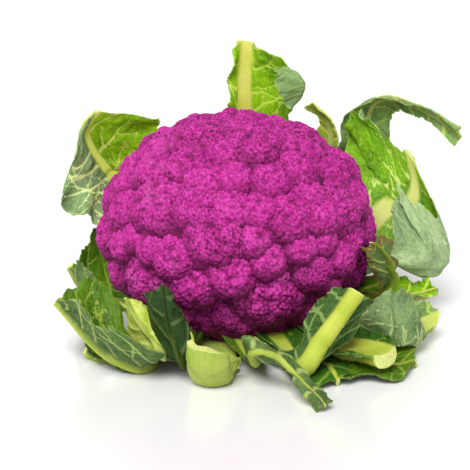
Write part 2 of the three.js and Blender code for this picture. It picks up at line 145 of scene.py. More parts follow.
# Where each floret stands on the dome, as a turn about Z and a rise above its centre in degrees, and the
# floret's radius in millimetres.
FLORETS = [
    (-64, 16, 14), (-32, 14, 15), (-2, 2, 13), (-72, -26, 22), (-100, 8, 18), (-134, 18, 17),
    (176, 12, 15), (-172, -4, 15), (-140, -20, 19), (-124, -36, 15), (-166, -20, 14), (-12, -18, 18),
    (-32, -34, 16), (-90, -40, 16), (-60, 3, 9), (-110, 34, 12), (-92, 37, 10), (-70, 34, 11),
    (-48, 38, 12), (-132, 0, 10), (-110, 21, 13), (-128, 42, 12), (-8, -4, 15), (-112, -16, 14),
    (-146, 62, 17), (-70, 60, 16), (94, 74, 17), (166, 42, 16), (16, 50, 18), (6, 26, 15),
    (162, 26, 13), (-20, 30, 12), (-78, 20, 10), (-52, -10, 12), (-150, 34, 12), (-38, 58, 12),
    (-104, 54, 11), (-156, 12, 12), (-50, 24, 10), (-82, 8, 9),
    (30, 14, 19), (58, 34, 19), (64, 2, 21), (96, 18, 20), (104, 46, 18), (132, 28, 19),
    (128, -4, 21), (156, 4, 16), (34, -20, 18), (96, -22, 20), (156, -22, 18), (50, 60, 15),
    (138, 56, 16), (64, -34, 16), (124, -34, 16), (8, -30, 14), (-70, 82, 13),
    (-166, 24, 10), (-36, -7, 11), (-13, 15, 11), (-48, 4, 9), (-153, -3, 10), (-76, -2, 10),
    (-21, 46, 10), (-176, 30, 11), (-167, 42, 11), (-120, -3, 13), (-39, -18, 9), (-93, -9, 13),
    (-143, 3, 8), (2, 72, 10), (12, -8, 14), (171, -6, 13), (102, -3, 13), (42, -2, 14),
    (86, -2, 13), (178, -22, 13), (11, 11, 12), (30, 36, 13), (115, 14, 12), (74, 22, 12),
    (56, -20, 13), (141, 11, 12), (-60, -46, 14), (-98, -48, 14), (-132, -46, 14), (-160, -44, 14),
    (-28, -46, 13), (-112, -40, 12), (-76, -44, 12), (-48, -38, 12), (-48, 14, 12), (-29, 0, 12),
    (-93, 21, 11),
]


def unit(vectors):
    return vectors / np.linalg.norm(vectors, axis=-1, keepdims=True)


def dome_point(turn, rise, depth):
    """The point a given depth below the curd's outline, in the direction of the turn and the rise."""
    around, above = math.radians(turn), math.radians(rise)
    direction = np.array(
        (math.cos(around) * math.cos(above), math.sin(around) * math.cos(above), math.sin(above))
    )
    height = CURD_RISE if rise > 0 else CURD_DROP
    reach = 1 / np.linalg.norm(direction / (CURD_HALF_WIDTH, CURD_HALF_DEPTH, height))
    return CURD_CENTRE + direction * (reach - depth)


def spiral_dome(axis, count, reach, start):
    """Directions spread over a dome about an axis, in a golden-angle spiral, and their angles from it."""
    step = np.arange(count)
    slant = reach * np.sqrt((step + 0.5) / count)
    around = start + step * GOLDEN_ANGLE
    side = unit(np.cross(axis, (0.31, 0.52, 0.8)))
    other = np.cross(axis, side)
    ring = np.cos(around)[:, None] * side + np.sin(around)[:, None] * other
    return np.cos(slant)[:, None] * axis + np.sin(slant)[:, None] * ring, slant / reach


def floret_beads(axis, radius, rng):
    """The buds of one floret and the beads on each: centres from the floret's middle, radii and tones."""
    bead_size = rng.uniform(*BEAD_RADIUS) * MM
    bud_size = max(SMALLEST_BUD, radius * rng.uniform(*BUD_SHARE))
    bud_count = int(BUD_CROWDING * (radius / bud_size) ** 2)
    bud_axes, out = spiral_dome(axis, bud_count, FLORET_REACH, rng.uniform(0, 6.28))
    bud_axes = unit(bud_axes + rng.normal(0, UNEVENNESS, bud_axes.shape))
    bud_radii = bud_size * (0.85 + 0.35 * out) * rng.uniform(0.88, 1.15, bud_count)
    bud_centres = bud_axes * (radius - rng.uniform(0.8, 1.0, bud_count) * bud_radii)[:, None]
    centres, radii, tones, bud_of = [], [], [], []
    for k in range(bud_count):
        pitch = BEAD_PITCH * bead_size
        bead_count = int(2 * math.pi * bud_radii[k] ** 2 * 1.1 / (0.87 * pitch**2)) + 3
        directions, _ = spiral_dome(bud_axes[k], bead_count, BEAD_REACH, rng.uniform(0, 6.28))
        directions = unit(directions + rng.normal(0, UNEVENNESS, directions.shape))
        size = bead_size * rng.uniform(0.85, 1.2, bead_count)
        place = bud_centres[k] + directions * (bud_radii[k] - BEAD_SUNK_SHARE * size)[:, None]
        away = np.linalg.norm(place[:, None] - bud_centres[None], axis=2) - bud_radii[None]
        away[:, k] = 1
        free = away.min(axis=1) > -0.8 * bead_size
        centres.append(place[free])
        radii.append(size[free])
        tones.append(rng.uniform(0, 1, free.sum()) * 0.6 + rng.uniform(0, 0.4))
        bud_of.append(np.full(free.sum(), k))
    beads = tuple(np.concatenate(part) for part in (centres, radii, tones, bud_of))
    return *beads, bud_centres, bud_radii


def even_block(name, cuts):
    """A cube cut into even squares in edit mode, one metre wide."""
    bpy.ops.object.select_all(action="DESELECT")
    bpy.ops.mesh.primitive_cube_add(size=1)
    bpy.ops.object.mode_set(mode="EDIT")
    bpy.ops.mesh.select_all(action="SELECT")
    bpy.ops.mesh.subdivide(number_cuts=cuts)
    bpy.ops.object.mode_set(mode="OBJECT")
    block = bpy.context.object
    block.name = name
    block.data.name = name
    return block


def ball_mesh(name, cuts):
    """A ball of even squares: such a block rounded in edit mode."""
    ball = even_block(name, cuts)
    bpy.ops.object.mode_set(mode="EDIT")
    bpy.ops.mesh.select_all(action="SELECT")
    bpy.ops.transform.tosphere(value=1)
    bpy.ops.object.mode_set(mode="OBJECT")
    bpy.ops.object.shade_smooth()
    return ball


def read_points(mesh):
    flat = np.empty(len(mesh.vertices) * 3, dtype=np.float32)
    mesh.vertices.foreach_get("co", flat)
    return flat.reshape(-1, 3).astype(np.float64)


def write_points(mesh, points):
    mesh.vertices.foreach_set("co", points.astype(np.float32).ravel())
    mesh.update()


def write_attribute(mesh, name, values):
    attribute = mesh.attributes.new(name, "FLOAT", "POINT")
    attribute.data.foreach_set("value", values.astype(np.float32))


def crowd_outwards(directions, axis):
    """Turn directions towards the axis, so that most of a ball's squares lie on its outer side."""
    slant = np.arccos(np.clip(directions @ axis, -1, 1))
    share = slant / math.pi
    closer = math.pi * (0.55 * share + 0.45 * share**4)
    around = directions - axis * np.cos(slant)[:, None]
    around /= np.maximum(np.linalg.norm(around, axis=1, keepdims=True), 1e-9)
    return np.cos(closer)[:, None] * axis + np.sin(closer)[:, None] * around


def balls_surface(directions, balls, radii):
    """How far the skin of a crowd of balls lies from the floret's middle, and the ball met there."""
    reach = np.zeros(len(directions))
    nearest = np.zeros(len(directions), dtype=int)
    for start in range(0, len(directions), 4000):
        part = slice(start, start + 4000)
        along = directions[part] @ balls.T
        inside = radii**2 - (balls**2).sum(axis=1) + along**2
        far = np.where(inside > 0, along + np.sqrt(np.maximum(inside, 0)), 0)
        nearest[part] = far.argmax(axis=1)
        reach[part] = far.max(axis=1)
    return reach, nearest


def curd_floret(name, turn, rise, radius_mm, material, rng):
    """One floret: a ball whose skin is pushed out to the beads of its buds."""
    radius = radius_mm * MM * FLORET_FULLNESS
    sink = FILLER_SINK * max(FILLER_BELOW - radius_mm, 0) + rng.uniform(-0.8, 1.2)
    middle = dome_point(turn, rise, radius + sink * MM)
    axis = unit(middle - CURD_ROOT)
    beads, radii, tones, bud_of, buds, bud_radii = floret_beads(axis, radius, rng)
    floret = ball_mesh(name, int(radius_mm * FLORET_CUTS_PER_MM))
    directions = crowd_outwards(unit(read_points(floret.data)), axis)
    reach, nearest = balls_surface(directions, beads, radii)
    bud_reach, nearest_bud = balls_surface(directions, buds, bud_radii * BUD_CORE_SHARE)
    skin = np.maximum(bud_reach, radius * FLORET_CORE_SHARE)
    met = reach > skin
    points = directions * np.maximum(reach, skin)[:, None]
    bead = beads[nearest]
    bud = buds[np.where(met, bud_of[nearest], nearest_bud)]
    bud_out = unit(points - bud)
    rise_on_bead = ((points - bead) / radii[nearest][:, None] * bud_out).sum(axis=1)
    rise_on_bud = (bud_out * unit(bud)).sum(axis=1)
    rise_on_floret = directions @ axis
    write_points(floret.data, middle + points)
    # bead_top, bud_top and floret_top drive the curd's painted shade; skin that no bead covers gets 0.3,
    # which paints the pits dark.
    write_attribute(floret.data, "bead_top", np.where(met, np.clip(rise_on_bead, 0, 1), 0.3))
    write_attribute(floret.data, "bud_top", np.clip(rise_on_bud, 0, 1))
    write_attribute(floret.data, "floret_top", np.clip(rise_on_floret, 0, 1))
    write_attribute(floret.data, "tone", np.where(met, tones[nearest], 0.2))
    floret.data.materials.append(material)
    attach(floret, "root")
    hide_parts("curd")


class Shade:
    """One output of a shader node; arithmetic on it adds Math nodes to the same material."""

    def __init__(self, tree, socket=None):
        self.tree = tree
        self.socket = socket

    def node(self, kind, settings=None, values=None, output=0):
        """Add a node, set its settings and then its sockets, and wrap one of its outputs."""
        node = self.tree.nodes.new(kind)
        for name, value in (settings or {}).items():
            setattr(node, name, value)
        for name, value in (values or {}).items():
            if isinstance(value, Shade):
                self.tree.links.new(value.socket, node.inputs[name])
            else:
                node.inputs[name].default_value = value
        return Shade(self.tree, node.outputs[output])

    def math(self, operation, first, second=0.0):
        return self.node("ShaderNodeMath", {"operation": operation}, {0: first, 1: second})

    def __add__(self, other):
        return self.math("ADD", self, other)

    __radd__ = __add__

    def __sub__(self, other):
        return self.math("SUBTRACT", self, other)

    def __rsub__(self, other):
        return self.math("SUBTRACT", other, self)

    def __mul__(self, other):
        return self.math("MULTIPLY", self, other)

    __rmul__ = __mul__

    def between(self, low, high):
        """0 below low, 1 above high, and a smooth step between them."""
        return self.node(
            "ShaderNodeMapRange",
            {"interpolation_type": "SMOOTHSTEP"},
            {"Value": self, "From Min": low, "From Max": high},
        )

    def mix(self, first, second):
        """Colour first where this is 0 and colour second where it is 1."""
        first, second = (c if isinstance(c, Shade) else (*c, 1) for c in (first, second))
        settings = {"data_type": "RGBA", "clamp_factor": True}
        return self.node("ShaderNodeMix", settings, {0: self, 6: first, 7: second}, output=2)

    def attribute(self, name, output="Fac"):
        return self.node("ShaderNodeAttribute", {"attribute_name": name}, output=output)

    def noise(self, scale, detail=2.0, place=None):
        place = place or self.node("ShaderNodeTexCoord", output="Object")
        values = {"Vector": place, "Scale": scale, "Detail": detail}
        return self.node("ShaderNodeTexNoise", {}, values)


def new_material(name):
    """An empty Principled material, its shader node, and a start for its patterns."""
    material = bpy.data.materials.new(name)
    material.use_nodes = True
    shader = material.node_tree.nodes["Principled BSDF"]
    return material, shader, Shade(material.node_tree)


def connect(shade, shader, name):
    shade.tree.links.new(shade.socket, shader.inputs[name])


def let_light_in(shader, weight, colour, depth):
    """Flesh under the skin: the share of light that enters, how deep each colour goes, and the scale."""
    shader.inputs["Subsurface Weight"].default_value = weight
    shader.inputs["Subsurface Radius"].default_value = colour
    shader.inputs["Subsurface Scale"].default_value = depth


def curd_material():
    """Matt purple plant tissue with painted light and shade: pink on the lit bead tops, deep maroon
    painted shade in the creases between beads, buds and florets and low on the curd.
    """
    material, shader, start = new_material("purple_curd")
    bead = start.attribute("bead_top")
    bud = start.attribute("bud_top")
    floret = start.attribute("floret_top")
    tone = start.attribute("tone")
    patch = start.noise(38.0, 3.0)
    dust_and_sheen_spots = start.noise(170.0, 2.0).between(0.42, 0.7)
    # lit is painted light and shade: darker in the creases between beads, buds and florets, where shade
    # falls.
    lit = bead.between(0.42, 1.0) * (0.3 + 0.7 * bud.between(0.35, 0.95))
    place = start.node("ShaderNodeTexCoord", output="Object")
    height = start.node("ShaderNodeSeparateXYZ", {}, {"Vector": place}, output="Z")
    lit = lit * (0.22 + 0.78 * floret.between(0.3, 0.92))
    # Painted shade: the curd grows darker towards its bottom, which the leaves and the head itself shade.
    lit = lit * (0.3 + 0.7 * height.between(0.012, 0.044))
    body = lit.mix((0.095, 0.002, 0.044), (0.32, 0.008, 0.168))
    # Painted highlight: pinker bead crowns, and a random pink tone that shows only where lit paints
    # light.
    crown_highlight = bead.between(0.8, 1.0) * 0.35
    pink_tone_and_highlight = (tone * 0.7 + patch * 0.6 + crown_highlight).between(0.5, 1.2) * lit
    body = pink_tone_and_highlight.mix(body, (0.45, 0.034, 0.270))
    # A pale pink film, partly dust on the beads and partly painted sheen, laid only where lit paints
    # light.
    dust_and_sheen = dust_and_sheen_spots * patch.between(0.5, 0.66) * lit * 0.3
    body = dust_and_sheen.mix(body, (0.33, 0.10, 0.23))
    connect(body, shader, "Base Color")
    connect(0.62 + 0.2 * patch, shader, "Roughness")
    grain = start.noise(2600.0, 2.0)
    bump = start.node("ShaderNodeBump", {}, {"Strength": 0.25, "Distance": 0.0003, "Height": grain})
    connect(bump, shader, "Normal")
    let_light_in(shader, 0.08, (1.0, 0.25, 0.5), 1.5 * MM)
    shader.inputs["Specular IOR Level"].default_value = 0.2
    return material


purple_curd = curd_material()
random_curd = np.random.default_rng(7)
for number, (turn, rise, radius_mm) in enumerate(FLORETS):
    curd_floret(f"floret_{number + 1:02d}", turn, rise, radius_mm, purple_curd, random_curd)


def curd_heart(material):
    """The branching middle of the curd, beaded tissue which shows between the florets, dark with painted
    shade.
    """
    heart = ball_mesh("curd_heart", 50)
    directions = unit(read_points(heart.data))
    height = np.where(directions[:, 2] > 0, CURD_RISE, CURD_DROP * 0.75)
    sizes = np.tile((CURD_HALF_WIDTH, CURD_HALF_DEPTH, CURD_RISE), (len(height), 1))
    sizes[:, 2] = height
    reach = 1 / np.linalg.norm(directions / sizes, axis=1) - HEART_DEPTH
    buds, _ = spiral_dome(np.array((0.0, 0.0, 1.0)), HEART_BUDS, 2.4, 0.0)
    closeness = (directions @ buds.T).max(axis=1)
    swell = np.clip((closeness - 0.985) / 0.015, 0, 1)
    reach += HEART_BUD_RISE * np.sqrt(swell)
    write_points(heart.data, CURD_CENTRE + directions * reach[:, None])
    # All zero, so the curd material gives the heart its darkest painted-shade colour.
    for name in ("bead_top", "bud_top", "floret_top", "tone"):
        write_attribute(heart.data, name, np.zeros(len(reach)))
    heart.data.materials.append(material)
    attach(heart, "root")
    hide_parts("curd")


curd_heart(purple_curd)


# ---- Stalk -------------------------------------------------------------------------------------------
# The woody stump that the head was cut off on. Its cut face is flat and pale, and its sides keep the
# ridged scars of the outer leaves that were pulled away.

STALK_FOOT_RADIUS = 23 * MM
STALK_TOP_RADIUS = 25 * MM
STALK_HEIGHT = 44 * MM
SCAR_SPACING = 9 * MM
SCAR_DEPTH = 0.7 * MM


def stalk_material():
    """Pale green rind mottled in two greens and browner on its scars, with a cream cut face ringed by
    strands of wood.
    """
    material, shader, start = new_material("cut_stalk")
    cut = start.attribute("cut")
    from_axis = start.attribute("from_axis")
    mottle = start.noise(160.0, 3.0)
    streak = start.noise(420.0, 2.0)
    rind = mottle.between(0.3, 0.7).mix((0.33, 0.42, 0.10), (0.52, 0.58, 0.20))
    rind = (start.attribute("scar") * 0.7).mix(rind, (0.36, 0.30, 0.13))
    strands = streak.between(0.5, 0.62) * from_axis.between(0.55, 0.75) * 0.5
    wood = mottle.between(0.35, 0.65).mix((0.62, 0.62, 0.33), (0.74, 0.73, 0.45))
    wood = strands.mix(wood, (0.42, 0.42, 0.18))
    wood = (from_axis.between(0.9, 0.97) * 0.8).mix(wood, (0.40, 0.47, 0.14))
    connect(cut.mix(rind, wood), shader, "Base Color")
    connect(0.45 + 0.25 * mottle, shader, "Roughness")
    grain = {"Strength": 0.3, "Distance": 0.0004, "Height": mottle + streak * 0.5}
    connect(start.node("ShaderNodeBump", {}, grain), shader, "Normal")
    let_light_in(shader, 0.1, (0.8, 0.9, 0.3), 2 * MM)
    return material


def cut_stump():
    """The block's squares laid on a round stump: its lower and upper faces become the ends."""
    stump = even_block("stalk_stump", 70)
    block = read_points(stump.data)
    share_up = block[:, 2] + 0.5
    out = 2 * np.abs(block[:, :2]).max(axis=1)
    turn = np.arctan2(block[:, 1], block[:, 0])
    height = share_up * STALK_HEIGHT
    radius = STALK_FOOT_RADIUS + (STALK_TOP_RADIUS - STALK_FOOT_RADIUS) * share_up
    scar = np.sin(2 * math.pi * height / SCAR_SPACING + 1.5 * np.sin(2 * turn)) ** 8
    wall = np.clip(height / (3 * MM), 0, 1)
    radius += wall * (SCAR_DEPTH * scar + 0.5 * MM * np.sin(5 * turn + 140 * height)) - 0.6 * MM
    dome = 0.5 * MM * (1 - out**2) * (share_up > 0.5)
    place = np.stack((np.cos(turn) * out * radius, np.sin(turn) * out * radius, height + dome), axis=1)
    write_points(stump.data, place)
    write_attribute(stump.data, "cut", (share_up < 1e-4).astype(float))
    write_attribute(stump.data, "scar", scar * wall)
    write_attribute(stump.data, "from_axis", out)
    bpy.ops.object.shade_smooth_by_angle(angle=math.radians(50))
    stump.data.materials.append(stalk_material())
    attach(stump, "root")
    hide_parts("stalk")


cut_stump()


# ---- Leaves at the left ------------------------------------------------------------------------------
# Four leaves that were trimmed short: one flat on the table, one like a spoon, a young rolled one and a
# small upright one darkened with painted shade. A leaf is a thin blade with a thick rib that swells on
# its outer face, puffed up between the veins and torn along its edge.

# Lengths with MM are in metres, and the others are millimetres over the leaf. A pair gives the least
# and the most.
LEAF_CELL = 1.15 * MM
LEAF_COLUMNS = (40, 90)
LEAF_STEPS = (50, 110)
BLADE_THICKNESS = 0.7 * MM
PETIOLE_START_RADIUS = 26
PETIOLE_BEND_RADIUS = 48
PETIOLE_HALF_WIDTH = 8
PETIOLE_ROWS = 1.6
PETIOLE_STEPS_SHARE = 0.12
TABLE_CLEARANCE = 0.3 * MM
VEIN_STEP = 0.7
VEIN_HALF_WIDTH = (0.6, 0.9)
VEIN_SPACING = (11, 16)
FORK_SPACING = (8, 14)
VEIN_RIDGE = 0.45 * MM
PUFF = 1.0 * MM
PUFF_LENGTH = 8
RUFFLE = 2.0 * MM
RUFFLE_LENGTH = 24
LOBE_DEPTH = 2.6
LOBE_LENGTH = 19
TOOTH_DEPTH = 1.1
TOOTH_LENGTH = 5.2
DEEPEST_BITE_SHARE = 0.3
CUT_WAVE_LENGTH = 13
CUT_TOOTH_LENGTH = 5
CUT_SLOPE_LENGTH = 2.5
SMALL_SHARE = 0.004
BROWNED = (0.13, 0.075, 0.02)
CUT_WOOD = ((0.60, 0.63, 0.24), (0.42, 0.48, 0.10))


def spline_weights(share, count):
    """How much each of a row of points counts, at a share of the way along a smooth line through them."""
    position = np.clip(share, 0, 1) * (count - 1)
    first = np.minimum(position.astype(int), count - 2)
    s = position - first
    near = (
        -0.5 * s + s**2 - 0.5 * s**3,
        1 - 2.5 * s**2 + 1.5 * s**3,
        0.5 * s + 2 * s**2 - 1.5 * s**3,
        -0.5 * s**2 + 0.5 * s**3,
    )
    weights = np.zeros((len(s), count + 2))
    for step, weight in enumerate(near):
        weights[np.arange(len(s)), first + step] = weight
    weights[:, 1] += 2 * weights[:, 0]
    weights[:, 2] -= weights[:, 0]
    weights[:, -2] += 2 * weights[:, -1]
    weights[:, -3] -= weights[:, -1]
    return weights[:, 1:-1]


def leaf_net(turn, height, rows):
    """All the rows of points that a leaf passes through: two for the petiole, then those listed."""
    around = math.radians(turn)
    outward = np.array((math.cos(around), math.sin(around), 0))
    sideways = np.array((-math.sin(around), math.cos(around), 0))
    across = np.linspace(-1, 1, len(rows[0]))[:, None]
    petiole = [
        outward * radius + sideways * across * half_width + (0, 0, 1) * (z + 2 * across**2)
        for radius, half_width, z in (
            (PETIOLE_START_RADIUS, PETIOLE_HALF_WIDTH, height),
            (PETIOLE_BEND_RADIUS, PETIOLE_HALF_WIDTH * 1.4, 1 + height * 0.75),
        )
    ]
    return np.array(petiole + [np.array(row) for row in rows]) * MM


def on_leaf(net, across, along):
    """The points of a leaf's inner face at shares across and along it."""
    down, over = spline_weights(along, net.shape[0]), spline_weights(across, net.shape[1])
    return np.einsum("nr,nc,rcd->nd", down, over, net, optimize=True)


def ripples(first, second, wavelength, rng, waves=7):
    """A smooth random field of about -1 to 1, with hills about a wavelength apart."""
    total = 0
    for turn, phase in rng.uniform(0, 2 * math.pi, (waves, 2)):
        pitch = 2 * math.pi / (wavelength * rng.uniform(0.75, 1.35))
        total = total + np.sin(pitch * (first * math.cos(turn) + second * math.sin(turn)) + phase)
    return total / math.sqrt(waves)


def grow_veins(length, spread, rng):
    """Side veins of a flat leaf, as points across, along and half width in millimetres. They leave the
    rib on both sides, bend towards the tip and fork."""
    points = []
    for side in (-1, 1):
        base = rng.uniform(3, 9)
        while base < length:
            lean, width = math.radians(rng.uniform(50, 68)), rng.uniform(*VEIN_HALF_WIDTH)
            shoots = [(2.0, base, lean, width, spread, 0)]
            while shoots:
                out, up, lean, width, run, fork = shoots.pop()
                gap = rng.uniform(*FORK_SPACING)
                walked = 0.0
                while walked < run and out < spread:
                    points.append((side * out, up, width))
                    lean += rng.normal(0, 0.06) - 0.006
                    out += VEIN_STEP * math.sin(lean)
                    up += VEIN_STEP * math.cos(lean)
                    width *= 0.988
                    walked += VEIN_STEP
                    gap -= VEIN_STEP
                    if gap < 0 and fork < 2:
                        turn_off = rng.choice((-1, 1)) * rng.uniform(0.45, 0.8)
                        branch_run = rng.uniform(8, 20)
                        shoots.append((out, up, lean + turn_off, width * 0.75, branch_run, fork + 1))
                        lean -= 0.35 * turn_off
                        gap = rng.uniform(*FORK_SPACING)
            base += rng.uniform(*VEIN_SPACING)
    return np.array(points)


def nearest_vein(veins, across, along):
    """The distance in millimetres from each point to the nearest vein, and that vein's half width."""
    tree = kdtree.KDTree(len(veins))
    for number, (out, up, _) in enumerate(veins):
        tree.insert((out, up, 0), number)
    tree.balance()
    found = [tree.find((out, up, 0))[1:] for out, up in zip(across, along)]
    number, distance = np.array(found).T
    return distance, veins[number.astype(int), 2]


def smooth_step(value, low, high):
    share = np.clip((value - low) / (high - low), 0, 1)
    return share * share * (3 - 2 * share)


def flat_grid(name, columns, steps):
    bpy.ops.object.select_all(action="DESELECT")
    bpy.ops.mesh.primitive_grid_add(x_subdivisions=columns, y_subdivisions=steps, size=1)
    grid = bpy.context.object
    grid.name = name
    grid.data.name = name
    return grid


def leaf_arcs(net, columns, along_of_step):
    """Distances in millimetres over the leaf: from the rib for each step and column, and up the rib."""
    steps = len(along_of_step)
    across = np.tile(np.linspace(0, 1, columns + 1), steps)
    along = np.repeat(along_of_step, columns + 1)
    points = on_leaf(net, across, along).reshape(steps, columns + 1, 3) / MM
    widths = np.linalg.norm(np.diff(points, axis=1), axis=2)
    from_edge = np.concatenate((np.zeros((steps, 1)), np.cumsum(widths, axis=1)), axis=1)
    from_rib = from_edge - from_edge[:, [columns // 2]]
    heights = np.linalg.norm(np.diff(points[:, columns // 2], axis=0), axis=1)
    return from_rib, np.concatenate(((0,), np.cumsum(heights)))


def face_out(net, across, along):
    """Unit vectors out of a leaf's outer face."""
    over = on_leaf(net, across + SMALL_SHARE, along) - on_leaf(net, across - SMALL_SHARE, along)
    forth = on_leaf(net, across, along + SMALL_SHARE) - on_leaf(net, across, along - SMALL_SHARE)
    return unit(np.cross(over, forth))


def torn_edges(out, up, reach, width, end, rng):
    """How much is torn off a leaf: at its sides as a share of its half width, and at its end in mm."""
    lobes = LOBE_DEPTH * np.maximum(ripples(up, np.sign(out) * 40, LOBE_LENGTH, rng), 0)
    teeth = TOOTH_DEPTH * np.abs(ripples(up, np.sign(out) * 9, TOOTH_LENGTH, rng))
    sides = (lobes + teeth) / np.maximum(reach, 8) * (reach > width + 2)
    ragged = end + 0.35 * end * ripples(out, up * 0, CUT_WAVE_LENGTH, rng)
    ragged = ragged + TOOTH_DEPTH * np.abs(ripples(out, up * 0, CUT_TOOTH_LENGTH, rng))
    return sides, ragged * smooth_step(np.abs(out) - width, 0, CUT_SLOPE_LENGTH)


def blade_relief(out, up, share_out, past_rib, from_vein, rng):
    """How far the blade stands out of its smooth surface: waves at the edge, hollows between veins."""
    hollow = (1 - np.exp(-((from_vein / 3.4) ** 2))) * (1 - np.exp(-((past_rib / 3.0) ** 2)))
    puff = PUFF * hollow * (0.75 + 0.45 * ripples(out, up, PUFF_LENGTH, rng))
    wave = RUFFLE * share_out**2 * ripples(out, up, RUFFLE_LENGTH, rng) * (past_rib > 0)
    return wave - puff


def leaf(name, turn, height, rib_width, rib_depth, end, skin, rows, underside=0):
    """One leaf. rib_width (half of it) and rib_depth are given at the stalk and at the cut end, and end
    is how far the torn blade stops short of the cut rib, all in millimetres. underside is the side of
    the rib, -1 or 1, on which both faces have the waxy grey skin of the underside."""
    rng = np.random.default_rng(sum(map(ord, name)))
    net = leaf_net(turn, height, rows)
    petiole_share = PETIOLE_ROWS / (len(net) - 1)
    rough = leaf_arcs(net, 24, np.linspace(petiole_share, 1, 24))
    columns = 2 * int((rough[0][:, -1] - rough[0][:, 0]).max() * MM / LEAF_CELL / 2)
    steps = int(rough[1][-1] * MM / LEAF_CELL / (1 - PETIOLE_STEPS_SHARE))
    columns, steps = int(np.clip(columns, *LEAF_COLUMNS)), int(np.clip(steps, *LEAF_STEPS))
    blade = flat_grid(name + "_blade", columns, steps)
    flat = read_points(blade.data)
    column = np.rint((flat[:, 0] + 0.5) * columns).astype(int)
    step = np.rint((flat[:, 1] + 0.5) * steps).astype(int)
    along_of_step = np.interp(
        np.linspace(0, 1, steps + 1), (0, PETIOLE_STEPS_SHARE, 1), (0, petiole_share, 1)
    )
    from_rib, up_rib = leaf_arcs(net, columns, along_of_step)
    out, up = from_rib[step, column], up_rib[step]
    reach = np.where(column < columns // 2, -from_rib[step, 0], from_rib[step, -1])
    share_out = np.abs(out) / np.maximum(reach, 1e-6)
    along = along_of_step[step]
    blade_share = smooth_step(along, petiole_share * 0.8, petiole_share * 1.3)

    width = rib_width[1] + (rib_width[0] - rib_width[1]) * (1 - along) ** 3
    depth = (rib_depth[0] + (rib_depth[1] - rib_depth[0]) * along) * MM
    past_rib = np.maximum(np.abs(out) - width, 0)
    sides, ragged = torn_edges(out, up, reach, width, end, rng)
    bite = np.minimum(blade_share * sides, DEEPEST_BITE_SHARE)
    across = 0.5 + (column / columns - 0.5) * (1 - bite * share_out**3)
    along = along * (1 - np.clip(ragged / up_rib[-1], 0, 0.25) * smooth_step(along, 0.55, 1))
    place, outwards = on_leaf(net, across, along), face_out(net, across, along)

    veins = grow_veins(up_rib[-1], reach.max(), rng)
    distance, vein_width = nearest_vein(veins, out, up)
    vein = np.minimum(distance / vein_width, 20)
    shift = blade_share * blade_relief(out, up, share_out, past_rib, distance, rng)
    swell = depth * np.sqrt(np.maximum(0, 1 - (out / width) ** 2))
    thickness = BLADE_THICKNESS * (1 + 1.2 * np.exp(-past_rib / 3)) + swell
    ridge = VEIN_RIDGE * np.exp(-(vein**2) * 0.8) * blade_share
    inner = place + outwards * (shift + 0.25 * ridge)[:, None]
    outer = place + outwards * (shift + thickness + ridge)[:, None]
    inner[:, 2] = np.maximum(inner[:, 2], TABLE_CLEARANCE + BLADE_THICKNESS)
    outer[:, 2] = np.maximum(outer[:, 2], TABLE_CLEARANCE)

    to_edge = np.minimum(reach - np.abs(out), (up_rib[-1] - up) + 8 * (past_rib == 0))
    write_attribute(blade.data, "vein", vein + 20 * (past_rib == 0))
    write_attribute(blade.data, "rib", 1 - smooth_step(np.abs(out), width * 0.85, width * 1.2))
    write_attribute(blade.data, "cut", ((step == steps) & (np.abs(out) < width)).astype(float))
    write_attribute(blade.data, "to_edge", to_edge)
    on_blade = blade.data.attributes.new("leaf_place", "FLOAT_VECTOR", "POINT")
    on_blade.data.foreach_set("vector", np.stack((out, up, out * 0), axis=1).astype(np.float32).ravel())

    thicken = blade.modifiers.new("two_faces", "SOLIDIFY")
    thicken.thickness = 0.01
    bpy.ops.object.modifier_apply(modifier="two_faces")
    write_points(blade.data, np.concatenate((outer, inner)))
    waxy_inside = smooth_step(underside * out, width, width + 2)
    write_attribute(blade.data, "outer_face", np.concatenate((np.ones(len(outer)), waxy_inside)))
    bpy.ops.object.shade_smooth_by_angle(angle=math.radians(55))
    blade.data.materials.append(skin)
    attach(blade, "root")
    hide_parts(name)


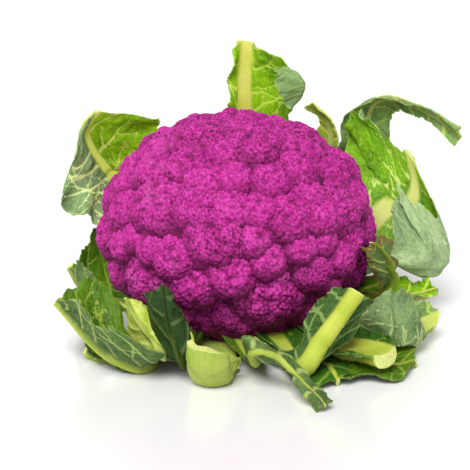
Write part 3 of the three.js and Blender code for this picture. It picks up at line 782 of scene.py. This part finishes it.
def leaf_material(name, inner, outer, pale, stem, scorch=0.0):
    """Leaf skin: a saturated inner face and a waxy grey outer face, each given as two colours, as the
    stem is, under pale veins and a fine net. scorch is how far the edge has browned, in millimetres."""
    material, shader, start = new_material(name)
    outside = start.attribute("outer_face").between(0.3, 0.7)
    rib = start.attribute("rib")
    cut = start.attribute("cut")
    to_edge = start.attribute("to_edge")
    place = start.attribute("leaf_place", "Vector")
    vein = 1 - start.attribute("vein").between(0.7, 2.0)
    cloud = start.noise(0.045, 3.0, place).between(0.35, 0.65)
    mottle = start.noise(0.45, 3.0, place)
    cells = {"feature": "DISTANCE_TO_EDGE"}
    net = start.node("ShaderNodeTexVoronoi", cells, {"Vector": place, "Scale": 0.34}).between(0.02, 0.16)
    inside_colour = (0.7 * cloud + 0.5 * mottle.between(0.35, 0.7)).mix(*inner)
    outside_colour = (0.6 * cloud + 0.6 * mottle.between(0.3, 0.7)).mix(*outer)
    blade = outside.mix(inside_colour, outside_colour)
    inner_vein = (0.9 * pale[0], 0.95 * pale[1], 0.45 * pale[2])
    vein_colour = outside.mix(inner_vein, pale)
    blade = ((1 - net) * 0.12).mix(blade, vein_colour)
    blade = (vein * 0.9).mix(blade, vein_colour)
    blade = ((1 - to_edge.between(0.1, 1.1)) * 0.2).mix(blade, vein_colour)
    if scorch:
        browned = (1 - to_edge.between(0.3 * scorch, scorch)) * mottle.between(0.3, 0.55)
        blade = browned.mix(blade, BROWNED)
    stretch = {0: place, 1: (1.0, 0.05, 1.0)}
    stretched = start.node("ShaderNodeVectorMath", {"operation": "MULTIPLY"}, stretch)
    stripes = start.noise(1.1, 2.0, stretched)
    stem = (stripes.between(0.3, 0.7) * 0.15 + cloud * 0.5).mix(*stem)
    colour = rib.mix(blade, stem)
    wood = start.noise(900.0, 2.0).between(0.3, 0.8).mix(*CUT_WOOD)
    connect(cut.mix(colour, wood), shader, "Base Color")
    connect(0.38 + 0.16 * outside + 0.12 * mottle, shader, "Roughness")
    height = vein * 0.5 - net * 0.25 + mottle * 0.5 + stripes * rib * 0.3
    bump = start.node("ShaderNodeBump", {}, {"Strength": 0.5, "Distance": 0.0005, "Height": height})
    connect(bump, shader, "Normal")
    let_light_in(shader, 0.12, (0.6, 1.0, 0.15), 3 * MM)
    shader.inputs["Specular IOR Level"].default_value = 0.1
    return material


fresh_leaf = leaf_material(
    "fresh_leaf",
    inner=((0.055, 0.17, 0.001), (0.21, 0.40, 0.002)),
    outer=((0.095, 0.18, 0.050), (0.21, 0.32, 0.125)),
    pale=(0.46, 0.56, 0.15),
    stem=((0.56, 0.54, 0.12), (0.40, 0.45, 0.045)),
)
# A darker copy of the leaf skin that paints shade on the leaves that sit in shadow.
shaded_leaf = leaf_material(
    "shaded_leaf",
    inner=((0.010, 0.046, 0.005), (0.035, 0.115, 0.008)),
    outer=((0.014, 0.042, 0.008), (0.042, 0.095, 0.020)),
    pale=(0.17, 0.25, 0.070),
    stem=((0.40, 0.44, 0.070), (0.22, 0.31, 0.010)),
)
young_leaf = leaf_material(
    "young_leaf",
    inner=((0.16, 0.24, 0.015), (0.32, 0.39, 0.05)),
    outer=((0.26, 0.36, 0.02), (0.44, 0.50, 0.10)),
    pale=(0.44, 0.50, 0.14),
    stem=((0.38, 0.42, 0.10), (0.12, 0.24, 0.006)),
)
old_leaf = leaf_material(
    "old_leaf",
    inner=((0.022, 0.070, 0.003), (0.085, 0.175, 0.006)),
    outer=((0.030, 0.065, 0.016), (0.085, 0.140, 0.042)),
    pale=(0.25, 0.32, 0.09),
    stem=((0.33, 0.38, 0.07), (0.16, 0.24, 0.014)),
)
# A very dark copy of the leaf skin that paints deep shade on the small upright cup leaf.
painted_deep_shade_leaf = leaf_material(
    "painted_deep_shade_leaf",
    inner=((0.004, 0.014, 0.002), (0.012, 0.036, 0.003)),
    outer=((0.006, 0.018, 0.003), (0.018, 0.045, 0.008)),
    pale=(0.06, 0.09, 0.025),
    stem=((0.07, 0.10, 0.02), (0.03, 0.05, 0.006)),
)

leaf(
    "leaf_left_low", turn=-176, height=5, rib_width=(7, 1.4), end=1.5, skin=shaded_leaf,
    rib_depth=(6, 3), rows=(
        ((-61, -40, 4), (-58, -50, 3), (-56, -60, 3), (-55, -66, 3), (-55, -72, 3)),
        ((-72, -40, 6), (-70, -50, 4), (-67, -62, 3), (-65, -68, 3), (-64, -74, 3)),
        ((-79, -42, 10), (-79, -48, 7), (-76, -58, 5), (-74, -64, 4), (-72, -70, 4)),
        ((-82, -47, 10), (-82, -51, 8), (-80, -56, 7), (-79, -60, 6), (-77, -64, 6)),
    ),
)
leaf(
    "leaf_left_spoon", turn=-146, height=9, rib_width=(7, 0.4), end=2.5, skin=old_leaf,
    rib_depth=(6, 3), rows=(
        ((-57, -52, 15), (-53, -60, 8), (-45, -72, 6), (-39, -86, 12), (-37, -90, 18)),
        ((-63, -44, 30), (-66, -58, 15), (-60, -76, 10), (-58, -88, 18), (-62, -92, 29)),
        ((-74, -32, 37), (-77, -52, 24), (-73, -70, 17), (-70, -80, 25), (-72, -83, 33)),
        ((-84, -30, 37), (-87, -46, 31), (-84, -60, 25), (-81, -68, 32), (-81, -70, 37)),
        ((-92, -36, 35), (-94, -44, 34), (-95, -50, 33), (-93, -54, 35), (-91, -57, 37)),
    ),
)
leaf(
    "leaf_left_rolled", turn=-140, height=22, rib_width=(5, 0.6), end=1, skin=young_leaf,
    rib_depth=(6, 3), rows=(
        ((-47, -66, 8), (-44, -76, 12), (-38, -80, 15), (-35, -76, 16), (-34, -70, 18)),
        ((-56, -60, 16), (-51, -74, 18), (-44, -78, 21), (-40, -74, 24), (-40, -66, 25)),
        ((-59, -56, 26), (-55, -70, 28), (-51, -74, 31), (-47, -72, 33), (-46, -64, 32)),
        ((-61, -50, 32), (-59, -60, 34), (-56, -64, 36), (-53, -62, 37), (-52, -56, 36)),
    ),
)
leaf(
    "leaf_front_left_cup", turn=-122, height=16, rib_width=(5, 0.4), end=1.5, skin=painted_deep_shade_leaf,
    rib_depth=(6, 3), rows=(
        ((-39, -78, 9), (-34, -82, 11), (-27, -84, 12), (-23, -84, 14), (-20, -80, 16)),
        ((-43, -74, 24), (-38, -82, 22), (-31, -86, 23), (-26, -86, 24), (-23, -80, 26)),
        ((-46, -70, 35), (-41, -80, 36), (-35, -83, 35), (-30, -82, 35), (-27, -74, 30)),
        ((-45, -66, 43), (-41, -72, 46), (-37, -74, 48), (-33, -74, 46), (-31, -70, 41)),
    ),
)


# ---- Leaves at the front -----------------------------------------------------------------------------
# The stub of a thick petiole cropped like a boat, a narrow leaf that arches over it and ends as a strip
# on the table, an upright leaf seen from outside with its rib standing out, and a blade lying flat.

leaf(
    "leaf_front_boat", turn=-104, height=6, rib_width=(9, 11), end=0.5, skin=young_leaf,
    rib_depth=(6, 5), rows=(
        ((-19, -76, 6), (-15, -76, 4), (-10, -74, 3), (-4, -74, 3), (2, -74, 4)),
        ((-24, -84, 15), (-20, -89, 8), (-12, -90, 5), (-3, -88, 6), (4, -80, 8)),
        ((-24, -85, 22), (-21, -93, 17), (-14, -97, 14), (-5, -95, 12), (4, -84, 10)),
        ((-24, -85, 28), (-20, -93, 23), (-14, -97, 23), (-7, -95, 19), (2, -86, 12)),
    ),
)
leaf(
    "leaf_front_strip", turn=-86, height=14, rib_width=(7, 0.5), end=1.5, skin=old_leaf,
    rib_depth=(4, 0.4), rows=(
        ((4, -82, 11), (7, -82, 10), (10, -80, 10), (14, -79, 10), (18, -77, 10)),
        ((2, -88, 24), (5, -92, 24), (10, -95, 20), (15, -95, 15), (19, -92, 12)),
        ((10, -89, 25), (13, -96, 24), (17, -100, 21), (21, -100, 16), (25, -98, 12)),
        ((24, -94, 18), (26, -100, 18), (27, -104, 15), (28, -104, 13), (28, -102, 10)),
        ((38, -107, 10), (36, -110, 10), (34, -112, 9), (32, -113, 8), (30, -113, 7)),
        ((46, -117, 6), (43, -120, 6), (41, -122, 5), (38, -123, 5), (36, -123, 4)),
        ((50, -122, 4), (47, -125, 4), (44, -127, 3), (42, -128, 3), (40, -129, 3)),
    ),
)
leaf(
    "leaf_front_right_rib", turn=-66, height=16, rib_width=(6, 3.4), end=3, skin=shaded_leaf,
    rib_depth=(6, 5), rows=(
        ((24, -79, 15), (28, -84, 13), (34, -87, 10), (42, -82, 9), (50, -72, 12)),
        ((33, -75, 22), (38, -82, 24), (44, -86, 22), (52, -80, 18), (59, -74, 19)),
        ((43, -70, 36), (48, -77, 37), (53, -80, 33), (61, -73, 29), (68, -66, 29)),
        ((54, -65, 47), (57, -71, 47), (62, -73, 44), (69, -66, 41), (76, -58, 36)),
    ),
)
leaf(
    "leaf_front_right_flat", turn=-64, height=5, rib_width=(7, 1.2), end=2, skin=shaded_leaf,
    rib_depth=(6, 3), rows=(
        ((26, -84, 6), (37, -82, 6), (47, -76, 6), (58, -68, 6), (68, -62, 5)),
        ((31, -94, 5), (42, -91, 5), (50, -84, 6), (59, -76, 5), (68, -70, 4)),
        ((36, -102, 4), (45, -100, 3), (53, -94, 4), (59, -88, 4), (65, -82, 3)),
    ),
)


# ---- Leaves at the right -----------------------------------------------------------------------------
# Two petioles cut straight across, a wide leaf on the table, a torn inner leaf whose edge has browned
# and curled, one spread outwards, and a large leaf folded over to show its waxy veined underside.

waxy_leaf = leaf_material(
    "waxy_leaf",
    inner=((0.045, 0.15, 0.001), (0.16, 0.36, 0.002)),
    outer=((0.12, 0.20, 0.075), (0.31, 0.41, 0.20)),
    pale=(0.56, 0.64, 0.33),
    stem=((0.54, 0.56, 0.17), (0.38, 0.45, 0.06)),
)
grey_leaf = leaf_material(
    "grey_leaf",
    inner=((0.070, 0.145, 0.032), (0.180, 0.285, 0.085)),
    outer=((0.055, 0.105, 0.030), (0.155, 0.225, 0.090)),
    pale=(0.36, 0.44, 0.18),
    stem=((0.46, 0.50, 0.14), (0.34, 0.42, 0.05)),
)
torn_leaf = leaf_material(
    "torn_leaf",
    inner=((0.030, 0.11, 0.004), (0.10, 0.25, 0.006)),
    outer=((0.045, 0.10, 0.020), (0.11, 0.18, 0.045)),
    pale=(0.34, 0.40, 0.10),
    stem=((0.36, 0.44, 0.06), (0.22, 0.34, 0.012)),
    scorch=7.0,
)

leaf(
    "leaf_right_cut_rib", turn=-38, height=18, rib_width=(9, 8.5), end=5, skin=shaded_leaf,
    rib_depth=(6, 6), rows=(
        ((47, -75, 14), (51, -70, 12), (56, -62, 12), (59, -54, 14), (61, -48, 18)),
        ((57, -84, 16), (62, -80, 14), (67, -72, 13), (71, -65, 15), (73, -58, 19)),
        ((66, -93, 18), (71, -91, 16), (78, -86, 15), (84, -79, 17), (87, -72, 22)),
    ),
)
leaf(
    "leaf_right_flat", turn=-30, height=5, rib_width=(8, 1.6), end=2.5, skin=old_leaf,
    rib_depth=(6, 3), rows=(
        ((52, -90, 4), (56, -82, 4), (61, -68, 5), (66, -54, 5), (70, -44, 6)),
        ((63, -92, 3), (67, -84, 4), (72, -70, 4), (78, -56, 4), (84, -44, 5)),
        ((77, -92, 3), (82, -84, 3), (86, -70, 3), (90, -57, 4), (95, -44, 5)),
        ((87, -90, 3), (92, -80, 4), (96, -68, 5), (98, -58, 5), (100, -48, 4)),
    ),
)
leaf(
    "leaf_right_gutter", turn=-12, height=8, rib_width=(9, 8), end=7, skin=grey_leaf,
    rib_depth=(6, 6), rows=(
        ((77, -50, 35), (78, -56, 22), (79, -56, 11), (80, -43, 9),
         (81, -33, 12), (82, -27, 15), (83, -22, 18)),
        ((85, -46, 39), (86, -55, 24), (87, -57, 9), (88, -42, 10),
         (89, -29, 13), (90, -22, 16), (90, -16, 20)),
        ((94, -43, 34), (95, -52, 20), (95, -54, 8), (97, -39, 11),
         (98, -28, 14), (99, -21, 17), (99, -14, 21)),
        ((99, -40, 28), (100, -47, 17), (101, -48, 8), (105, -34, 12),
         (106, -26, 14), (107, -20, 17), (107, -15, 20)),
        ((103, -35, 22), (105, -40, 14), (107, -40, 10), (114, -27, 13),
         (115, -23, 15), (115, -18, 17), (114, -14, 19)),
    ),
)
leaf(
    "leaf_right_torn", turn=-6, height=24, rib_width=(6, 0.6), end=4, skin=torn_leaf,
    rib_depth=(6, 3), rows=(
        ((78, -26, 29), (81, -20, 29), (84, -14, 30), (87, -8, 32), (90, -3, 36)),
        ((75, -35, 42), (80, -30, 41), (84, -23, 41), (87, -16, 43), (88, -10, 47)),
        ((70, -42, 53), (75, -38, 52), (80, -32, 52), (84, -26, 54), (85, -20, 58)),
        ((65, -44, 61), (69, -42, 61), (73, -38, 61), (77, -34, 62), (79, -29, 64)),
    ),
)
leaf(
    "leaf_right_spread", turn=10, height=16, rib_width=(8, 1.2), end=2, skin=fresh_leaf,
    rib_depth=(6, 3), rows=(
        ((80, -18, 18), (81, -12, 18), (82, -3, 18), (84, 6, 20), (86, 12, 24)),
        ((88, -18, 20), (90, -12, 19), (91, -3, 18), (93, 6, 20), (93, 13, 25)),
        ((99, -14, 21), (101, -9, 20), (102, 0, 19), (102, 8, 20), (101, 15, 24)),
        ((108, -8, 21), (110, -3, 20), (111, 4, 19), (110, 10, 20), (108, 16, 23)),
        ((116, -2, 22), (118, 3, 21), (118, 8, 20), (116, 13, 20), (114, 17, 22)),
    ),
)
leaf(
    "leaf_right_folded", turn=28, height=8, rib_width=(11, 4.5), end=7, skin=waxy_leaf,
    rib_depth=(6, 3), rows=(
        ((78, 8, 34), (88, 15, 32), (96, 25, 37), (92, 35, 50),
         (83, 43, 64), (75, 50, 75), (70, 54, 82), (66, 56, 90)),
        ((87, 4, 42), (102, 8, 29), (115, 22, 24), (110, 36, 43),
         (92, 46, 71), (81, 51, 85), (73, 54, 98), (68, 54, 112)),
        ((90, 12, 62), (110, 11, 45), (127, 25, 33), (118, 40, 55),
         (98, 48, 83), (87, 52, 96), (79, 54, 107), (71, 52, 117)),
        ((94, 22, 84), (106, 25, 74), (117, 34, 66), (109, 43, 83),
         (99, 48, 96), (92, 51, 101), (86, 52, 105), (81, 51, 109)),
    ),
)


# ---- Leaves at the back ------------------------------------------------------------------------------
# The tallest leaves, which stand above the curd: one that blows out to the side in a long ribbon, a
# hooked sliver, one whose thick rib was cut square, and one bent over so that its underside hangs down.

# A brighter copy of the fresh leaf skin that paints the light falling on the bent leaf at the back left.
sunlit_leaf = leaf_material(
    "sunlit_leaf",
    inner=((0.10, 0.25, 0.001), (0.24, 0.44, 0.002)),
    outer=((0.075, 0.145, 0.050), (0.19, 0.28, 0.125)),
    pale=(0.60, 0.68, 0.27),
    stem=((0.60, 0.68, 0.13), (0.46, 0.56, 0.06)),
)

leaf(
    "leaf_back_ribbon", turn=44, height=15, rib_width=(8, 0.5), end=1, skin=grey_leaf,
    rib_depth=(6, 0.4), rows=(
        ((99, 70, 58), (91, 74, 60), (81, 77, 62), (70, 78, 65), (62, 77, 67)),
        ((97, 66, 86), (89, 69, 88), (80, 71, 90), (71, 70, 91), (63, 68, 92)),
        ((95, 63, 103), (90, 66, 108), (82, 68, 112), (74, 67, 114), (67, 64, 113)),
        ((97, 61, 113), (93, 63, 117), (88, 63, 120), (83, 61, 122), (78, 57, 123)),
        ((104, 56, 114), (102, 56, 117), (100, 55, 120), (97, 53, 122), (93, 50, 124)),
        ((117, 49, 108), (118, 48, 111), (118, 46, 113), (117, 44, 116), (115, 42, 118)),
        ((133, 42, 98), (133, 41, 100), (133, 40, 102), (132, 38, 104), (131, 36, 106)),
    ),
)
leaf(
    "leaf_back_sliver", turn=62, height=22, rib_width=(7, 2), end=0.5, skin=young_leaf,
    rib_depth=(5, 0.4), rows=(
        ((62, 66, 67), (59, 68, 68), (57, 70, 69), (54, 72, 69), (49, 74, 68)),
        ((62, 63, 93), (60, 66, 93), (59, 68, 92), (55, 71, 93), (49, 74, 94)),
        ((61, 63, 104), (60, 66, 103), (58, 68, 103), (55, 70, 104), (51, 73, 106)),
        ((56, 65, 112), (55, 67, 111), (53, 69, 110), (51, 71, 110), (49, 73, 110)),
        ((48, 67, 119), (47, 69, 118), (45, 71, 116), (43, 73, 115), (42, 75, 114)),
    ),
)
leaf(
    "leaf_back_tall", turn=86, height=14, rib_width=(12, 4.2), end=4, skin=fresh_leaf,
    rib_depth=(6, 6), rows=(
        ((36, 84, 59), (25, 90, 61), (16, 92, 63), (7, 92, 64),
         (1, 90, 65), (-4, 88, 65), (-8, 84, 65)),
        ((34, 76, 103), (29, 83, 104), (17, 88, 105), (6, 90, 108),
         (1, 89, 109), (-2, 87, 111), (-4, 84, 113)),
        ((27, 64, 122), (42, 74, 126), (26, 86, 126), (6, 91, 130),
         (1, 90, 130), (-1, 89, 131), (-3, 87, 131)),
        ((21, 66, 139), (31, 76, 143), (17, 88, 149), (7, 93, 152),
         (3, 92, 152), (1, 91, 151), (-1, 89, 150)),
    ),
)
leaf(
    "leaf_back_left_bent", turn=152, height=10, rib_width=(9, 2.2), end=2, underside=1, skin=sunlit_leaf,
    rib_depth=(6, 3), rows=(
        ((-47, 62, 73), (-55, 58, 73), (-63, 53, 72), (-70, 46, 71),
         (-75, 36, 65), (-79, 26, 60), (-80, 18, 54)),
        ((-51, 64, 85), (-61, 59, 82), (-70, 52, 81), (-77, 45, 83),
         (-82, 36, 75), (-86, 26, 67), (-89, 17, 59)),
        ((-49, 65, 96), (-63, 59, 95), (-76, 50, 93), (-84, 41, 95),
         (-87, 34, 86), (-94, 26, 75), (-102, 19, 66)),
        ((-46, 65, 104), (-62, 59, 105), (-77, 48, 107), (-87, 39, 107),
         (-90, 34, 99), (-93, 29, 91), (-99, 24, 79)),
        ((-44, 63, 109), (-58, 58, 113), (-71, 50, 116), (-80, 43, 117),
         (-85, 39, 116), (-87, 36, 113), (-89, 33, 109)),
    ),
)


# ---- Low leaves behind the curd ----------------------------------------------------------------------
# Three plain outer leaves that close the ring round the back and hold the curd from below.

leaf(
    "leaf_back_broad", turn=116, height=6, rib_width=(10, 2.5), end=3, skin=waxy_leaf,
    rib_depth=(6, 3), rows=(
        ((-8, 84, 22), (-18, 86, 17), (-30, 82, 15), (-42, 76, 17), (-50, 68, 22)),
        ((-6, 94, 50), (-20, 98, 45), (-34, 94, 42), (-50, 86, 44), (-60, 74, 50)),
        ((-10, 90, 72), (-22, 100, 74), (-36, 100, 72), (-52, 90, 72), (-64, 74, 70)),
        ((-14, 96, 84), (-24, 108, 86), (-38, 110, 84), (-54, 98, 84), (-64, 82, 80)),
    ),
)
leaf(
    "leaf_back_right_low", turn=64, height=5, rib_width=(9, 2), end=3, skin=old_leaf,
    rib_depth=(6, 3), rows=(
        ((66, 54, 18), (56, 66, 12), (42, 76, 9), (28, 84, 11), (16, 88, 16)),
        ((84, 62, 34), (72, 76, 24), (54, 88, 18), (36, 96, 21), (20, 98, 30)),
        ((92, 66, 44), (80, 82, 36), (62, 97, 29), (42, 104, 31), (26, 104, 40)),
    ),
)
leaf(
    "leaf_left_hidden", turn=176, height=14, rib_width=(9, 2), end=3, skin=old_leaf,
    rib_depth=(6, 3), rows=(
        ((-66, 38, 20), (-72, 26, 14), (-76, 12, 12), (-75, -4, 13), (-70, -18, 18)),
        ((-76, 42, 38), (-84, 30, 26), (-88, 14, 20), (-87, -4, 24), (-80, -20, 34)),
        ((-84, 42, 50), (-92, 28, 40), (-95, 14, 32), (-93, 0, 37), (-88, -12, 46)),
    ),
)
